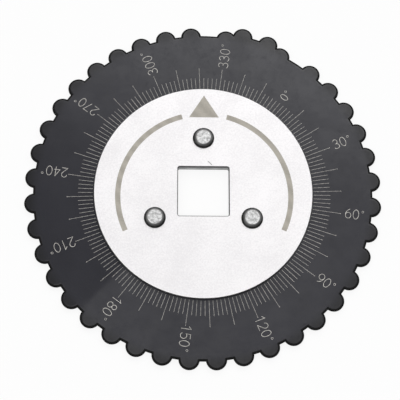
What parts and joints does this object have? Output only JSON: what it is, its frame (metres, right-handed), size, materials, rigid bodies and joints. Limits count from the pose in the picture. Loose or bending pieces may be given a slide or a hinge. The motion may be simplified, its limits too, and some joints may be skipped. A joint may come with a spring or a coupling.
{
  "type": "torque angle gauge",
  "caption": "Angle gauge for a square-drive wrench: a round degree scale with a lobed grip rim turns between two riveted plates, read against the front plate's pointer.",
  "frame": {"origin": "on the square drive's axis, at the rear face that the tool lies on", "axes": "+Z along the drive axis, out of the front face; +Y from the axis towards the pointer; +X to the right as read from the front"},
  "size_m": [0.136, 0.1361, 0.0055],
  "materials": {
    "plate_steel": "fine matt steel",
    "inner_steel": "plain turned steel",
    "rivet_steel": "bright flats, darkened flanks",
    "spring_steel": "tempered strip",
    "black_anodised": "satin black with light engraved marks"
  },
  "bodies": {
    "plates": {"front_plate": "plate_steel", "hub": "inner_steel", "rear_plate": "plate_steel", "rivet_top": "rivet_steel", "rivet_lower_left": "rivet_steel", "rivet_lower_right": "rivet_steel", "drag_spring": "spring_steel"},
    "scale": {"scale_disc": "black_anodised"}
  },
  "joints": [
    {"name": "scale_turn", "type": "hinge", "parent": "plates", "child": "scale", "pos_m": [0, 0, 0.0016], "axis": [0, 0, 1], "continuous": true}
  ]
}
